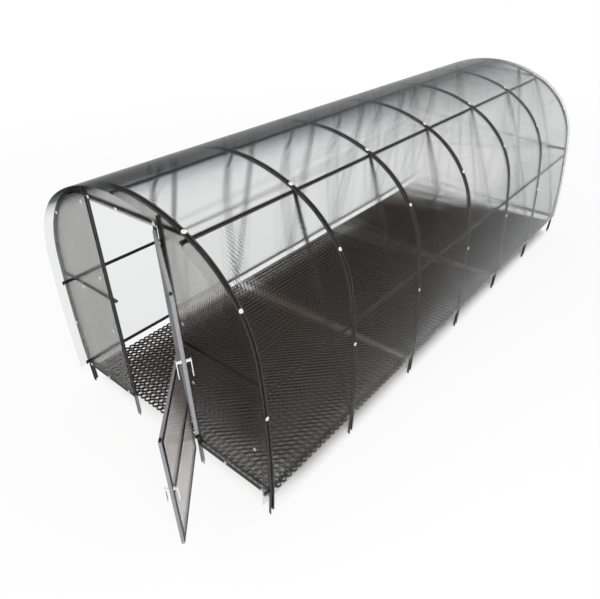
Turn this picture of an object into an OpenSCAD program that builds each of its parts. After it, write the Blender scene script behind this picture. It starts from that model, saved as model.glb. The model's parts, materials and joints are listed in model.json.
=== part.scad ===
// Arched polycarbonate greenhouse: seven hat-section steel arches on ground stakes, lengthwise
// rails, straight inner braces, a front gable with a two-leaf door, clear sheets and ring mats.
// Heights in the Customizer are measured from the middle of the base rails.

/* [Outline] */
// Width over the arches at the base rails
frame_w = 2500; // [2300:50:2800]
// Height of the arches' tops over the base rails
ridge_h = 2100; // [2050:25:2250]
// Distance between arches
bay = 1000; // [900:25:1100]
// Height at which each leg is widest
bow_h = 545; // [450:5:600]
// Height at which the legs turn into the shoulders
spring_h = 1160; // [1100:10:1200]
// Radius of the nearly straight legs
leg_r = 7500; // [6500:100:9500]
// Half angle of the flat roof arc, from the ridge
roof_deg = 30; // [28:1:32]
// Length of the stakes below the base rails
stake_h = 250; // [200:10:350]

/* [Steel sections] */
// Thickness of the steel
steel_t = 1.5; // [1.2:0.1:2.5]
// Width of an arch over its two flanges
arch_w = 44; // [38:1:56]
// Clear width of the groove of an arch
arch_groove = 20; // [16:1:24]
// Depth of an arch
arch_d = 22; // [18:1:30]
// Width of a rail, brace or gable bar
rail_w = 34; // [30:1:40]
// Clear width of the groove of a rail, brace or gable bar
rail_groove = 15; // [12:1:18]
// Depth of a rail, brace or gable bar
rail_d = 18; // [14:1:22]
// Clearance between steel pieces that touch
fit = 0.3; // [0.2:0.1:0.5]

/* [Rails and stakes] */
// Height of the waist rails
waist_h = 910; // [800:10:1000]
// Angle of the shoulder rails from the ridge, seen along the length
shoulder_deg = 27.5; // [25:0.5:27.5]
// Length of each rail beyond the middle of the end arches
rail_out = 50; // [40:5:70]
// Height to which a stake reaches up behind its arch
splice_h = 250; // [150:10:350]
// Depth of the arches' feet below the middle of the base rails
foot_drop = 30; // [20:2:40]
// Height of the notch that leaves one wall of a stake longer
tail_h = 26; // [15:1:40]

/* [Gables] */
// Clear width between the door posts
door_w = 860; // [750:10:900]
// Width of a door post
post_w = 40; // [34:1:50]
// Depth of a door post
post_d = 20; // [18:1:26]
// Depth of the middle of the lintels below the arches' tops
lintel_drop = 170; // [165:5:250]
// Height of the middle of the gables' waist bars
gable_bar_h = 1005; // [970:5:1100]
// Length of the left waist bar's end that stops the door leaves
stop_l = 18; // [10:1:25]

/* [Sheets] */
// Thickness of the twin-wall sheets
sheet_t = 4; // [4:1:8]
// Length of the cover beyond the middle of the end arches
overhang = 100; // [90:5:150]
// Depth of the cover's lower edge below the middle of the base rails
cover_drop = 35; // [20:5:100]
// Gap between neighbouring sheets
sheet_gap = 4; // [2:1:8]

/* [Door] */
// Height at which the two leaves meet
split_h = 915; // [880:5:950]
// Depth of the lower leaf's bottom below the middle of the base rails
leaf_drop = 50; // [30:5:60]
// Width of the leaf frames' bars
leaf_bar = 36; // [30:1:45]
// Depth of the leaf frames
leaf_d = 18; // [14:1:18]
// How far the leaves' faces stand in front of the posts
leaf_proud = 3; // [3:1:6]
// Gap round a closed leaf
leaf_gap = 5; // [5:1:8]
// Opening angle of the lower leaf as it stands
lower_open = 135; // [100:1:150]
// Opening angle of the upper leaf as it stands
upper_open = 150; // [100:1:150]
// Length of a door handle
handle_l = 115; // [90:5:150]
// How far a handle stands off the leaf
handle_out = 32; // [25:1:45]

/* [Hinges] */
// Radius of a hinge pin
pin_r = 3; // [2:0.5:4]
// Wall of a hinge knuckle round the pin
knuckle_wall = 2.5; // [2:0.5:3]
// Height of a hinge knuckle
knuckle_h = 26; // [20:1:40]
// Radial clearance of a hinge pin
pin_fit = 0.08; // [0.02:0.02:0.1]
// Distance of each hinge from its leaf's end
hinge_in = 110; // [80:5:160]

/* [Floor mats] */
// Thickness of the ring mats
mat_t = 16; // [10:1:22]
// Length of one ring mat
mat_l = 1900; // [1600:20:1960]
// Gap between ring mats
mat_gap = 65; // [30:5:100]
// Distance of the mats' left edge from the middle of the left base rail
mat_left = 62; // [20:2:100]
// How far the mats reach past the middle of the right base rail
mat_right = 26; // [10:1:28]

/* [Hidden] */

bays = 6;
bays_per_sheet = 2;
length = bays * bay;
half_w = frame_w / 2;

// The outline of the arches' outer faces is five tangent arcs: roof, two shoulders, two legs.
leg_cx = half_w - sqrt(pow(leg_r, 2) - pow(bow_h, 2));
spring_deg = leg_deg(spring_h);
spring_x = leg_cx + leg_r * sin(spring_deg);
// Roof and shoulder radii follow from the two points that the arcs join.
roof_sin = sin(roof_deg);
roof_sag = cos(roof_deg) - 1;
turn_sin = sin(spring_deg) - roof_sin;
turn_cos = cos(spring_deg) - cos(roof_deg);
arc_det = roof_sin * turn_cos - turn_sin * roof_sag;
roof_r = (spring_x * turn_cos - turn_sin * (spring_h - ridge_h)) / arc_det;
shoulder_r = (roof_sin * (spring_h - ridge_h) - roof_sag * spring_x) / arc_det;
shoulder_c = [(roof_r - shoulder_r) * roof_sin, ridge_h - roof_r + (roof_r - shoulder_r) * cos(roof_deg)];

// Depths inside the outline
stake_in = steel_t + fit;
rail_in = arch_d + fit;
base_in = stake_in + rail_in;
base_back = base_in + rail_d;

// Front gable planes, measured from the middle of the first arch towards the front
post_face = arch_w / 2;
bar_face = post_face - post_d - fit;
leaf_face = post_face + leaf_proud;
post_x = (door_w + post_w) / 2;
lintel_h = ridge_h - lintel_drop;
lintel_low = lintel_h - rail_w / 2;

// Door leaves, measured from the hinge axis with the door shut
knuckle_r = pin_r + knuckle_wall;
hinge_x = door_w / 2 - 2;
leaf_edge = 4;
hinge_proud = 7;
hinge_y = -(leaf_face + hinge_proud);
leaf_w = hinge_x - leaf_edge + door_w / 2 - leaf_gap;
leaf_free = leaf_edge + leaf_w;
lower_low = -leaf_drop;
lower_top = split_h - leaf_gap;
upper_low = split_h + leaf_gap;
upper_top = lintel_low - leaf_gap;
hinge_plate_t = 1.8;
hinge_plate_w = 18;
handle_w = 24;

// The lowest y is the back corner of the lower leaf's inner handle.
handle_x = leaf_free - leaf_bar / 2;
handle_edge = handle_x + handle_w / 2;
handle_back = hinge_proud + leaf_d + fit + handle_out;
reach_front = -hinge_y + handle_edge * sin(lower_open) - handle_back * cos(lower_open);
reach_back = length + overhang;
front_y = (reach_front - reach_back) / 2;

// The mats lie under the base rails, and the gables' base bars line up with those rails.
base_deg = leg_deg(0);
mat_top = wall_pt(base_deg, base_in)[1] - rail_w / 2 * sin(base_deg) - fit;
base_bar_h = mat_top + fit + rail_w / 2;
mat_start = 2;

arc_fn = 240;
lap_deg = 0.5;
hair = 0.05;

// Angle of the outline's normal from the vertical, at a height on the leg
function leg_deg(z) = 90 + asin((bow_h - z) / leg_r);

// Point at an angle round the outline, a depth inside it
function wall_pt(a, depth = 0) =
    a < 0 ? [-wall_pt(-a, depth)[0], wall_pt(-a, depth)[1]]
    : a <= roof_deg ? [0, ridge_h - roof_r] + (roof_r - depth) * [sin(a), cos(a)]
    : a <= spring_deg ? shoulder_c + (shoulder_r - depth) * [sin(a), cos(a)]
    : [leg_cx, bow_h] + (leg_r - depth) * [sin(a), cos(a)];

// Angles round one side: short steps round the roof and shoulder, fewer down the leg
side_steps = concat(
    [for (i = [0 : 6]) roof_deg * i / 6],
    [for (i = [1 : 12]) roof_deg + (spring_deg - roof_deg) * i / 12]
);
function leg_steps(low) = [for (i = [1 : 6]) spring_deg + (leg_deg(low) - spring_deg) * i / 6];

// Outline of everything a depth inside the arches, down to a height
module inside_2d(depth, low) {
    steps = concat(side_steps, leg_steps(low));
    right = [for (a = steps) wall_pt(a, depth)];
    left = [for (i = [len(right) - 1 : -1 : 1]) [-right[i][0], right[i][1]]];
    polygon(concat(right, left));
}

// Everything is drawn from the middle of the first arch at base rail height, then set down here.
module place(y = 0) {
    translate([0, front_y + y, stake_h]) children();
}

// Hat section: the groove opens along +x, the crown lies at -d
module hat_2d(w, groove, d, t = steel_t) {
    g = groove / 2;
    f = g + t;
    polygon([
        [0, -w / 2], [0, -g], [t - d, -g], [t - d, g], [0, g], [0, w / 2],
        [-t, w / 2], [-t, f], [-d, f], [-d, -f], [-t, -f], [-t, -w / 2]
    ]);
}

// An arch's section, a hair slimmer all round where it is asked for
module arch_2d(slim = 0) {
    translate([-slim, 0])
        hat_2d(arch_w - 2 * slim, arch_groove + 2 * slim, arch_d - 2 * slim, steel_t - 2 * slim);
}

module rail_2d() {
    hat_2d(rail_w, rail_groove, rail_d);
}

// Turns a section so that +x is the outline's normal at an angle and it runs along the length
module to_normal(a) {
    rotate([-90, 0, 0]) rotate([0, 0, a - 90]) children();
}

// Bends a section round part of a circle about an axis along the length
module bend(r, centre, a0, a1) {
    translate([centre[0], 0, centre[1]])
        to_normal(a0)
            rotate_extrude(angle = a1 - a0, $fn = arc_fn) translate([r, 0]) children();
}

// Bends a section down one leg, between two heights
module leg_bend(top, low) {
    bend(leg_r, [leg_cx, bow_h], leg_deg(top), leg_deg(low)) children();
}

module both_sides() {
    children();
    mirror([1, 0, 0]) children();
}

// Bends a section from foot to foot over the whole outline. The second child, a hair slimmer, is
// used for the shoulders, whose ends run on into the roof and the legs to make one piece.
module full_bend(low) {
    bend(roof_r, [0, ridge_h - roof_r], -roof_deg, roof_deg) children(0);
    both_sides() {
        bend(shoulder_r, shoulder_c, roof_deg - lap_deg, spring_deg + lap_deg) children(1);
        leg_bend(spring_h, low) children(0);
    }
}

// Arch number n, counted from the front
module arch(n) {
    color("#3a3b3e") place((n - 1) * bay) full_bend(-foot_drop) {
        arch_2d();
        arch_2d(hair);
    }
}

// Cuts the bottom of a stake: one wall stays longer than the rest
module stake_cut() {
    difference() {
        children();
        translate([-half_w, -arch_w, -stake_h - arch_w]) cube([frame_w, 2 * arch_w, arch_w]);
        translate([-half_w, -arch_groove / 2, -stake_h - 1]) cube([frame_w, arch_w, tail_h + 1]);
    }
}

module stake() {
    groove = arch_groove + 2 * stake_in;
    stake_cut() leg_bend(splice_h, -stake_h - 1)
        translate([-stake_in, 0]) hat_2d(arch_w, groove, arch_d);
}

module stakes_right() {
    color("#2b2c2e") for (n = [0 : bays]) place(n * bay) stake();
}

module stakes_left() {
    mirror([1, 0, 0]) stakes_right();
}

// Straight rail along the whole length, seated a depth inside the arches' outline
module rail(a, depth = rail_in) {
    p = wall_pt(a, depth);
    color("#3a3b3e") place(-rail_out) translate([p[0], 0, p[1]])
        to_normal(a) linear_extrude(length + 2 * rail_out) rail_2d();
}

// Space that a rail takes, with a clearance round it
module rail_space(a, depth, gap = fit) {
    p = wall_pt(a, depth - gap);
    translate([p[0], -length, p[1]]) to_normal(a) linear_extrude(3 * length)
        translate([-rail_d - 2 * gap, -rail_w / 2 - gap])
            square([rail_d + 2 * gap, rail_w + 2 * gap]);
}

waist_deg = leg_deg(waist_h);

// Inner brace: a straight bar from the shoulder rail down to the base rail
module brace() {
    top = wall_pt(shoulder_deg, rail_in + rail_d / 2);
    foot = wall_pt(base_deg, base_in + rail_d / 2);
    run = top - foot;
    difference() {
        translate([foot[0], 0, foot[1]]) rotate([0, atan2(run[0], run[1]), 0])
            linear_extrude(norm(run)) translate([rail_d / 2, 0]) rail_2d();
        rail_space(shoulder_deg, rail_in);
        rail_space(base_deg, base_in);
    }
}

// The last braces stand just inside the closed gable's level bars.
module braces_right() {
    last = length - (rail_d - bar_face) - fit - rail_w / 2;
    color("#3a3b3e") for (n = [1 : bays]) place(min(n * bay, last)) brace();
}

module braces_left() {
    mirror([1, 0, 0]) braces_right();
}

// Upright bar whose groove faces the front
module upright(x, low, high, w, groove, d) {
    translate([x, 0, low]) rotate([0, 0, -90]) linear_extrude(high - low) hat_2d(w, groove, d);
}

// Level bar whose groove faces the front
module level_bar(x0, x1, z) {
    translate([x0, -bar_face, z]) rotate([-90, 0, 0]) rotate([0, 90, 0])
        linear_extrude(x1 - x0) rail_2d();
}

// Door post from its stake's tip up to the arch
module post(x) {
    corner = abs(x) + post_w / 2;
    top_r = roof_r - arch_d - fit;
    high = ridge_h - roof_r + sqrt(pow(top_r, 2) - pow(corner, 2));
    color("#3a3b3e") place() stake_cut() translate([0, -post_face, 0])
        upright(x, -stake_h, high, post_w, arch_groove, post_d);
}

// Keeps what lies inside the arches, a depth inside their outline
module inside(depth) {
    intersection() {
        children();
        translate([0, arch_w, 0]) rotate([90, 0, 0])
            linear_extrude(2 * arch_w) inside_2d(depth, -stake_h);
    }
}

module lintel() {
    color("#3a3b3e") place() inside(arch_d + fit) level_bar(-half_w, half_w, lintel_h);
}

module front_waist_bars() {
    color("#3a3b3e") place() inside(arch_d + fit) {
        level_bar(-half_w, -door_w / 2 + stop_l, gable_bar_h);
        level_bar(door_w / 2 + post_w / 4, half_w, gable_bar_h);
    }
}

module front_base_bars() {
    color("#3a3b3e") place() inside(base_back + fit) {
        level_bar(-half_w, -door_w / 2 - post_w / 4, base_bar_h);
        level_bar(door_w / 2 + post_w / 4, half_w, base_bar_h);
    }
}

// Turns a piece of the front gable round to the back
module to_back() {
    translate([0, 2 * front_y + length, 0]) mirror([0, 1, 0]) children();
}

module back_posts() {
    to_back() {
        post(-post_x);
        post(post_x);
    }
}

// The closed gable's level bars: lintel, waist bar and base bar
module back_bars() {
    to_back() lintel();
    color("#3a3b3e") to_back() place() {
        inside(arch_d + fit) level_bar(-half_w, half_w, gable_bar_h);
        inside(base_back + fit) level_bar(-half_w, half_w, base_bar_h);
    }
}

// Section of a cover sheet, a hair slimmer all round where it is asked for
module cover_2d(sheet_l, slim = 0) {
    translate([fit + slim, slim]) square([sheet_t - 2 * slim, sheet_l - 2 * slim]);
}

// Cover sheet number n, bent over two bays; the end sheets overhang the end arches
module cover(n) {
    sheets = bays / bays_per_sheet;
    y0 = n == 0 ? -overhang : n * bays_per_sheet * bay + sheet_gap / 2;
    y1 = n == sheets - 1 ? length + overhang : (n + 1) * bays_per_sheet * bay - sheet_gap / 2;
    color("#c9d2d6", 0.35) place(y0) full_bend(-cover_drop) {
        cover_2d(y1 - y0);
        cover_2d(y1 - y0, hair);
    }
}

// Flat gable sheet between two x and above a height, notched round the rails' ends
module gable_sheet(x0, x1, low) {
    rail_gap = 3;
    color("#b9c0c4", 0.45) place() difference() {
        translate([0, -post_face - fit, 0]) rotate([90, 0, 0]) linear_extrude(sheet_t)
            intersection() {
                inside_2d(steel_t, -foot_drop);
                translate([x0, low]) square([x1 - x0, 2 * ridge_h]);
            }
        both_sides() {
            for (a = [0, shoulder_deg, waist_deg]) rail_space(a, rail_in, rail_gap);
            rail_space(base_deg, base_in, rail_gap);
        }
    }
}

sheet_edge = post_x + sheet_gap / 2;

module front_sheet_left() {
    gable_sheet(-frame_w, -sheet_edge, -foot_drop);
}

module front_sheet_right() {
    gable_sheet(sheet_edge, frame_w, -foot_drop);
}

module front_sheet_top() {
    gable_sheet(-sheet_edge + sheet_gap, sheet_edge - sheet_gap, lintel_low + leaf_gap);
}

module back_sheet_middle() {
    to_back() gable_sheet(-sheet_edge + sheet_gap, sheet_edge - sheet_gap, -foot_drop);
}

// Ring mat number n, drawn as a plain slab with notches round the right-hand legs
module floor_mat(n) {
    y0 = mat_start + n * (mat_l + mat_gap);
    base_x = wall_pt(base_deg, base_in + rail_d / 2)[0];
    notch_x = wall_pt(base_deg, base_back)[0] - fit;
    color("#2a2624") place() difference() {
        translate([-base_x + mat_left, y0, mat_top - mat_t])
            cube([2 * base_x - mat_left + mat_right, mat_l, mat_t]);
        for (k = [0 : bays]) {
            translate([notch_x, k * bay - arch_w / 2 - 3, mat_top - mat_t - 1])
                cube([arch_w * 2, arch_w + 6, mat_t + 2]);
        }
    }
}

// A leaf is drawn shut, with the hinge axis as its origin, and then turned open
module leaf(open) {
    place() translate([hinge_x, hinge_y, 0]) rotate([0, 0, open]) children();
}

// Bars of a leaf: two stiles and three rails, with two panes left open between them
module leaf_bars(low, top) {
    h = top - low;
    pane_w = leaf_w - 2 * leaf_bar;
    pane_h = (h - 3 * leaf_bar) / 2;
    translate([0, hinge_proud + leaf_d, 0]) rotate([90, 0, 0]) linear_extrude(leaf_d)
        difference() {
            translate([-leaf_free, low]) square([leaf_w, h]);
            for (z = [low + leaf_bar, top - leaf_bar - pane_h]) {
                translate([-leaf_free + leaf_bar, z]) square([pane_w, pane_h]);
            }
        }
}

// Moving half of a lift-off hinge: the upper knuckle and its plate on the leaf's face
module hinge_moving(z) {
    difference() {
        union() {
            translate([0, 0, z + fit]) cylinder(r = knuckle_r, h = knuckle_h, $fn = 48);
            translate([-leaf_edge - hinge_plate_w, hinge_proud - hinge_plate_t, z + fit])
                cube([hinge_plate_w + leaf_edge, hinge_plate_t, knuckle_h]);
            translate([-knuckle_r, 0, z + fit]) cube([knuckle_r, hinge_proud, knuckle_h]);
        }
        translate([0, 0, z - 1]) cylinder(r = pin_r + pin_fit, h = knuckle_h + 3, $fn = 48);
    }
}

// Fixed half: the lower knuckle with its pin, and its plate on the post's face
module hinge_fixed(z) {
    depth = hinge_proud + leaf_proud;
    translate([0, 0, z - knuckle_h]) {
        cylinder(r = knuckle_r, h = knuckle_h, $fn = 48);
        translate([0, depth - hinge_plate_t - fit, 0]) cube([hinge_plate_w, hinge_plate_t, knuckle_h]);
        cube([knuckle_r, depth - fit, knuckle_h]);
    }
    translate([0, 0, z - 1]) cylinder(r = pin_r, h = knuckle_h + 3, $fn = 48);
}

module leaf_frame(low, top, open) {
    color("#4a4b4e") leaf(open) {
        leaf_bars(low, top);
        hinge_moving(low + hinge_in);
        hinge_moving(top - hinge_in);
    }
}

// Sheet on a leaf's face, short of the hinge plates
module leaf_sheet(low, top, open) {
    edge = leaf_edge + hinge_plate_w + 2;
    color("#c9d2d6", 0.45) leaf(open)
        translate([-leaf_free, hinge_proud - fit - sheet_t, low])
            cube([leaf_free - edge, sheet_t, top - low]);
}

// One pull: a pad on the face, and a blade that hangs from a neck at its top, towards +y
module handle() {
    neck_h = 14;
    pad_h = 32;
    pad_t = 3;
    blade_t = 5;
    top = handle_l / 2;
    translate([-handle_w / 2, 0, top - pad_h]) cube([handle_w, pad_t, pad_h]);
    translate([-handle_w / 2, 0, top - neck_h]) cube([handle_w, handle_out, neck_h]);
    translate([-handle_w / 2, handle_out - blade_t, -top]) cube([handle_w, blade_t, handle_l]);
}

// A handle on each face of the free stile, at mid height
module leaf_handles(low, top, open) {
    color("#e8e8e8") leaf(open) translate([-handle_x, 0, (low + top) / 2]) {
        translate([0, hinge_proud + leaf_d + fit, 0]) handle();
        translate([0, hinge_proud - 2 * fit - sheet_t, 0]) mirror([0, 1, 0]) handle();
    }
}

module door_hinges() {
    color("#4a4b4e") leaf(0) {
        for (z = [lower_low + hinge_in, lower_top - hinge_in, upper_low + hinge_in, upper_top - hinge_in]) {
            hinge_fixed(z);
        }
    }
}

arch(1);  // arch_1
arch(2);  // arch_2
arch(3);  // arch_3
arch(4);  // arch_4
arch(5);  // arch_5
arch(6);  // arch_6
arch(7);  // arch_7
stakes_left();
stakes_right();
rail(-base_deg, base_in);  // base_rail_left
rail(base_deg, base_in);  // base_rail_right
rail(-waist_deg);  // waist_rail_left
rail(waist_deg);  // waist_rail_right
rail(-shoulder_deg);  // shoulder_rail_left
rail(shoulder_deg);  // shoulder_rail_right
rail(0);  // ridge_rail
braces_left();
braces_right();
post(-post_x);  // front_post_left
post(post_x);  // front_post_right
lintel();  // front_lintel
front_waist_bars();
front_base_bars();
back_posts();
back_bars();
cover(0);  // cover_front
cover(1);  // cover_middle
cover(2);  // cover_back
front_sheet_left();
front_sheet_right();
front_sheet_top();
to_back() front_sheet_left();  // back_sheet_left
back_sheet_middle();
to_back() front_sheet_right();  // back_sheet_right
floor_mat(0);  // floor_mat_front
floor_mat(1);  // floor_mat_middle
floor_mat(2);  // floor_mat_back
leaf_frame(lower_low, lower_top, lower_open);  // lower_leaf_frame
leaf_sheet(lower_low, lower_top, lower_open);  // lower_leaf_sheet
leaf_handles(lower_low, lower_top, lower_open);  // lower_leaf_handles
leaf_frame(upper_low, upper_top, upper_open);  // upper_leaf_frame
leaf_sheet(upper_low, upper_top, upper_open);  // upper_leaf_sheet
leaf_handles(upper_low, upper_top, upper_open);  // upper_leaf_handles
door_hinges();
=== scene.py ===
# %% [markdown]
# # An arched polycarbonate greenhouse
# The greenhouse's steel, sheets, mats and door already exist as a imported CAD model. This lesson loads
# that model as a fixed frame and gives it what CAD leaves out: painted steel, ribbed clear sheet, rubber
# ring mats, screws with their white washers, trims, end caps and rounded handles. Wherever the loaded
# model has a place to offer, a piece takes its place from there.

# %% Load the frame
import json
import math

import bpy
from mathutils import Matrix, Vector

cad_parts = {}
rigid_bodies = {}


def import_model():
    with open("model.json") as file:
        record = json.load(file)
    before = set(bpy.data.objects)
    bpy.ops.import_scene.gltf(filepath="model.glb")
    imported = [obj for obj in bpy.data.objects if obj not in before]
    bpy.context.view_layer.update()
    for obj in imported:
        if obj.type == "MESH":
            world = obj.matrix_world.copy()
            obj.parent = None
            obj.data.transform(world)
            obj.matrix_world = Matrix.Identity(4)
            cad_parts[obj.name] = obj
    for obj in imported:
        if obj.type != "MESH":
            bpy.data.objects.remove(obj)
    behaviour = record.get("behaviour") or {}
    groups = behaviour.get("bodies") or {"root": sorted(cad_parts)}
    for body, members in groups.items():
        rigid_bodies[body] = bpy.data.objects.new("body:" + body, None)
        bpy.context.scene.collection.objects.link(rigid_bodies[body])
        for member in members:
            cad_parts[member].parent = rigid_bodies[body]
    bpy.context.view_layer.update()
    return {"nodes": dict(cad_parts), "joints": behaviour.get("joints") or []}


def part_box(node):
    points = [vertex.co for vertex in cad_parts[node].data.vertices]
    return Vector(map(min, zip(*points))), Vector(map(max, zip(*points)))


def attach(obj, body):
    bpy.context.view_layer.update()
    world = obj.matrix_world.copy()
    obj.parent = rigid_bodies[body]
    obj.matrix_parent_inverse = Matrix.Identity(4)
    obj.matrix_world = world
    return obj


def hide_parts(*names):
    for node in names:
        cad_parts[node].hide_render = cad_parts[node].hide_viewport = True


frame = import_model()
nodes = frame["nodes"]
bpy.ops.object.select_all(action="DESELECT")

# %% [markdown]
# Everything is placed from a few landmarks: the middle of each arch along the length, the height of the
# base rails, and the two door leaves' joints.

# %% Landmarks
MM = 0.001
ARCHES = 7
LEAVES = ("lower_leaf", "upper_leaf")


def middle(node):
    """Middle of a node's box."""
    low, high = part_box(node)
    return (low + high) / 2


arch_y = [middle(f"arch_{n}").y for n in range(1, ARCHES + 1)]
base_z = middle("base_rail_right").z
joints = {joint["name"]: joint for joint in frame["joints"]}
print("arches at y =", [round(y, 3) for y in arch_y], "base rails at z =", round(base_z, 3))


# %% [markdown]
# ## Helpers
# Colours are written as sRGB hex values, the way a paint or web chart gives them, and one function turns
# them into the linear values that shaders expect. Another turns the size of a grain or patch into the
# scale of a texture: on Object coordinates, which are metres, a scale of 1 has features a metre wide. Two
# more feed a shader node and add one together with its settings and links, so that a material reads as a
# list of what feeds what.

# %% Colour, scale and node helpers
def linear(hex_colour):
    """Linear RGBA of an sRGB hex colour."""
    channels = [int(hex_colour[i : i + 2], 16) / 255 for i in (1, 3, 5)]
    curved = [c / 12.92 if c <= 0.04045 else ((c + 0.055) / 1.055) ** 2.4 for c in channels]
    return (*curved, 1.0)


def scale_for(size):
    """Scale of a texture whose features are about this many metres wide."""
    return 1 / size


def feed(tree, node, inputs):
    """Feeds a node's inputs, each with a value or with a link from a (node, output) pair."""
    for key, value in inputs.items():
        if isinstance(value, tuple) and isinstance(value[0], bpy.types.Node):
            tree.links.new(value[0].outputs[value[1]], node.inputs[key])
        else:
            node.inputs[key].default_value = value


def add(tree, kind, inputs=None, stops=(), **settings):
    """Adds a fed node. Stops are the position and colour pairs of a colour ramp."""
    node = tree.nodes.new(kind)
    for name, value in settings.items():
        setattr(node, name, value)
    feed(tree, node, inputs or {})
    if stops:
        elements = node.color_ramp.elements
        while len(elements) < len(stops):
            elements.new(0.5)
        for element, (position, colour) in zip(elements, stops):
            element.position = position
            element.color = colour
    return node


print("the grey #808080 is", round(linear("#808080")[0], 3), "in linear light")


# %% [markdown]
# A new material starts with its Principled shader and its Object coordinates. No real finish is one
# flat colour, so most of them wander between two tones, in soft clouds of a size that suits the finish.
# A CAD node gets its material in place of the plain one that it was loaded with.

# %% Material helpers
def new_material(name):
    """An empty node material with its Principled shader and its object coordinates."""
    material = bpy.data.materials.new(name)
    material.use_nodes = True
    tree = material.node_tree
    tree.nodes.clear()
    place = add(tree, "ShaderNodeTexCoord")
    shader = add(tree, "ShaderNodeBsdfPrincipled")
    add(tree, "ShaderNodeOutputMaterial", {"Surface": (shader, "BSDF")})
    return material, tree, place, shader


def clouded(tree, place, shader, size, detail, tones):
    """Lets a shader's colour wander between tones, in soft clouds of about this size."""
    clouds = add(tree, "ShaderNodeTexNoise", {"Vector": (place, "Object"), "Scale": scale_for(size),
                                              "Detail": detail})
    tone = add(tree, "ShaderNodeValToRGB", {"Fac": (clouds, "Fac")},
               stops=[(stop, linear(colour)) for stop, colour in tones])
    feed(tree, shader, {"Base Color": (tone, "Color")})


def dress(names, material):
    """Gives CAD nodes a material in every slot."""
    for name in names:
        obj = nodes[name]
        obj.data.materials.clear()
        obj.data.materials.append(material)
    print(material.name, "on", len(names), "nodes")


# %% [markdown]
# ## Camera
# The camera stands at the front right of the greenhouse, over a metre above its ridge, and looks down
# along the house. Its turn is written as two directions, to its right and forward, and the third follows
# from them. A lens of 32 mm is a slightly wide one, as people use to get a whole greenhouse in.

# %% Camera
SENSOR_MM = 36.0
LENS_MM = 32.3202
SHIFT_X, SHIFT_Y = -0.011467, -0.0731
FARTHEST_SEEN = 200.0
camera_data = bpy.data.cameras.new("camera")
camera = bpy.data.objects.new("camera", camera_data)
bpy.context.scene.collection.objects.link(camera)
bpy.context.scene.camera = camera
right = Vector((0.76578, 0.64197, -0.03811))
forward = Vector((-0.57936, 0.66294, -0.47418))
up = right.cross(forward)
turn = Matrix((right, up, -forward)).transposed().to_4x4()
camera_place = Vector((3.2359, arch_y[0] - 1.7781, base_z + 3.3698))
camera.matrix_world = Matrix.Translation(camera_place) @ turn
camera_data.sensor_width = SENSOR_MM
camera_data.lens = LENS_MM
camera_data.shift_x = SHIFT_X
camera_data.shift_y = SHIFT_Y
camera_data.clip_end = FARTHEST_SEEN
print("camera at", [round(v, 3) for v in camera_place], "lens", round(camera_data.lens, 2), "mm")

# %% [markdown]
# ## Floor and light
# A studio for a clear object wants light from all round: a clear sheet shows only what stands behind it
# and what it mirrors. A pale world does most of the work, one large soft lamp overhead gives the steel a
# lit and a shaded side, and a wide floor of matt white paint carries a soft shadow.
#
# A white floor that is only lit comes out grey. So wherever it is seen, straight, mirrored or through a
# sheet, a share of it is plain white instead, and only the rest is lit paint. That share goes by place. In
# the open it is high, but leaves some shadow. Further out it rises to the whole, so that the floor meets
# the white sky without a horizon. Under the house it is next to nothing, because the sheets and mats
# keep a greenhouse's floor dim.

# %% Shares of plain white on the floor
WHITE_SHARE_OPEN = 0.86
WHITE_SHARE_INSIDE = 0.02
# Distances from the middle of the house between which the open floor turns all white
FADE_START, FADE_END = 5.0, 14.0
# Distances from the house's middle line between which the dim floor sets in at the long sides
DIM_OUTER, DIM_INNER = 1.25, 1.15
# Depths behind the first arch and before the last one over which it sets in at the gables
DIM_FRONT, DIM_BACK = 0.45, 0.1


def seen_rays(tree):
    """1 for rays that show a surface to the camera: straight, mirrored or through clear sheet."""
    path = add(tree, "ShaderNodeLightPath")
    mirrored = add(tree, "ShaderNodeMath", {0: (path, "Is Glossy Ray"), 1: (path, "Is Transmission Ray")},
                   operation="MAXIMUM")
    return add(tree, "ShaderNodeMath", {0: (path, "Is Camera Ray"), 1: (mirrored, 0)}, operation="MAXIMUM")


def under_house(tree, split):
    """1 on the floor inside the greenhouse, 0 outside, with soft borders."""
    aside = add(tree, "ShaderNodeMath", {0: (split, "X")}, operation="ABSOLUTE")
    beside = add(tree, "ShaderNodeMapRange", {"Value": (aside, 0), "From Min": DIM_OUTER,
                                              "From Max": DIM_INNER})
    front = add(tree, "ShaderNodeMapRange", {"Value": (split, "Y"), "From Min": arch_y[0],
                                             "From Max": arch_y[0] + DIM_FRONT})
    back = add(tree, "ShaderNodeMapRange", {"Value": (split, "Y"), "From Min": arch_y[-1],
                                            "From Max": arch_y[-1] - DIM_BACK})
    ends = add(tree, "ShaderNodeMath", {0: (front, "Result"), 1: (back, "Result")}, operation="MULTIPLY")
    return add(tree, "ShaderNodeMath", {0: (beside, "Result"), 1: (ends, 0)}, operation="MULTIPLY")


print("white shares: open", WHITE_SHARE_OPEN, "under the house", WHITE_SHARE_INSIDE)

# %% [markdown]
# The floor itself is one plane, so wide that its edge is never seen. Its material mixes the lit paint and
# the plain white by the share just described, and leaves light and shadow to the paint alone.

# %% Floor
FLOOR_SIZE = 160.0
bpy.ops.mesh.primitive_plane_add(size=FLOOR_SIZE, location=(0.0, 0.0, 0.0))
floor = bpy.context.active_object
floor.name = "studio_floor"
bpy.ops.object.mode_set(mode="EDIT")
bpy.ops.mesh.subdivide(number_cuts=2)
bpy.ops.object.mode_set(mode="OBJECT")
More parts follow.
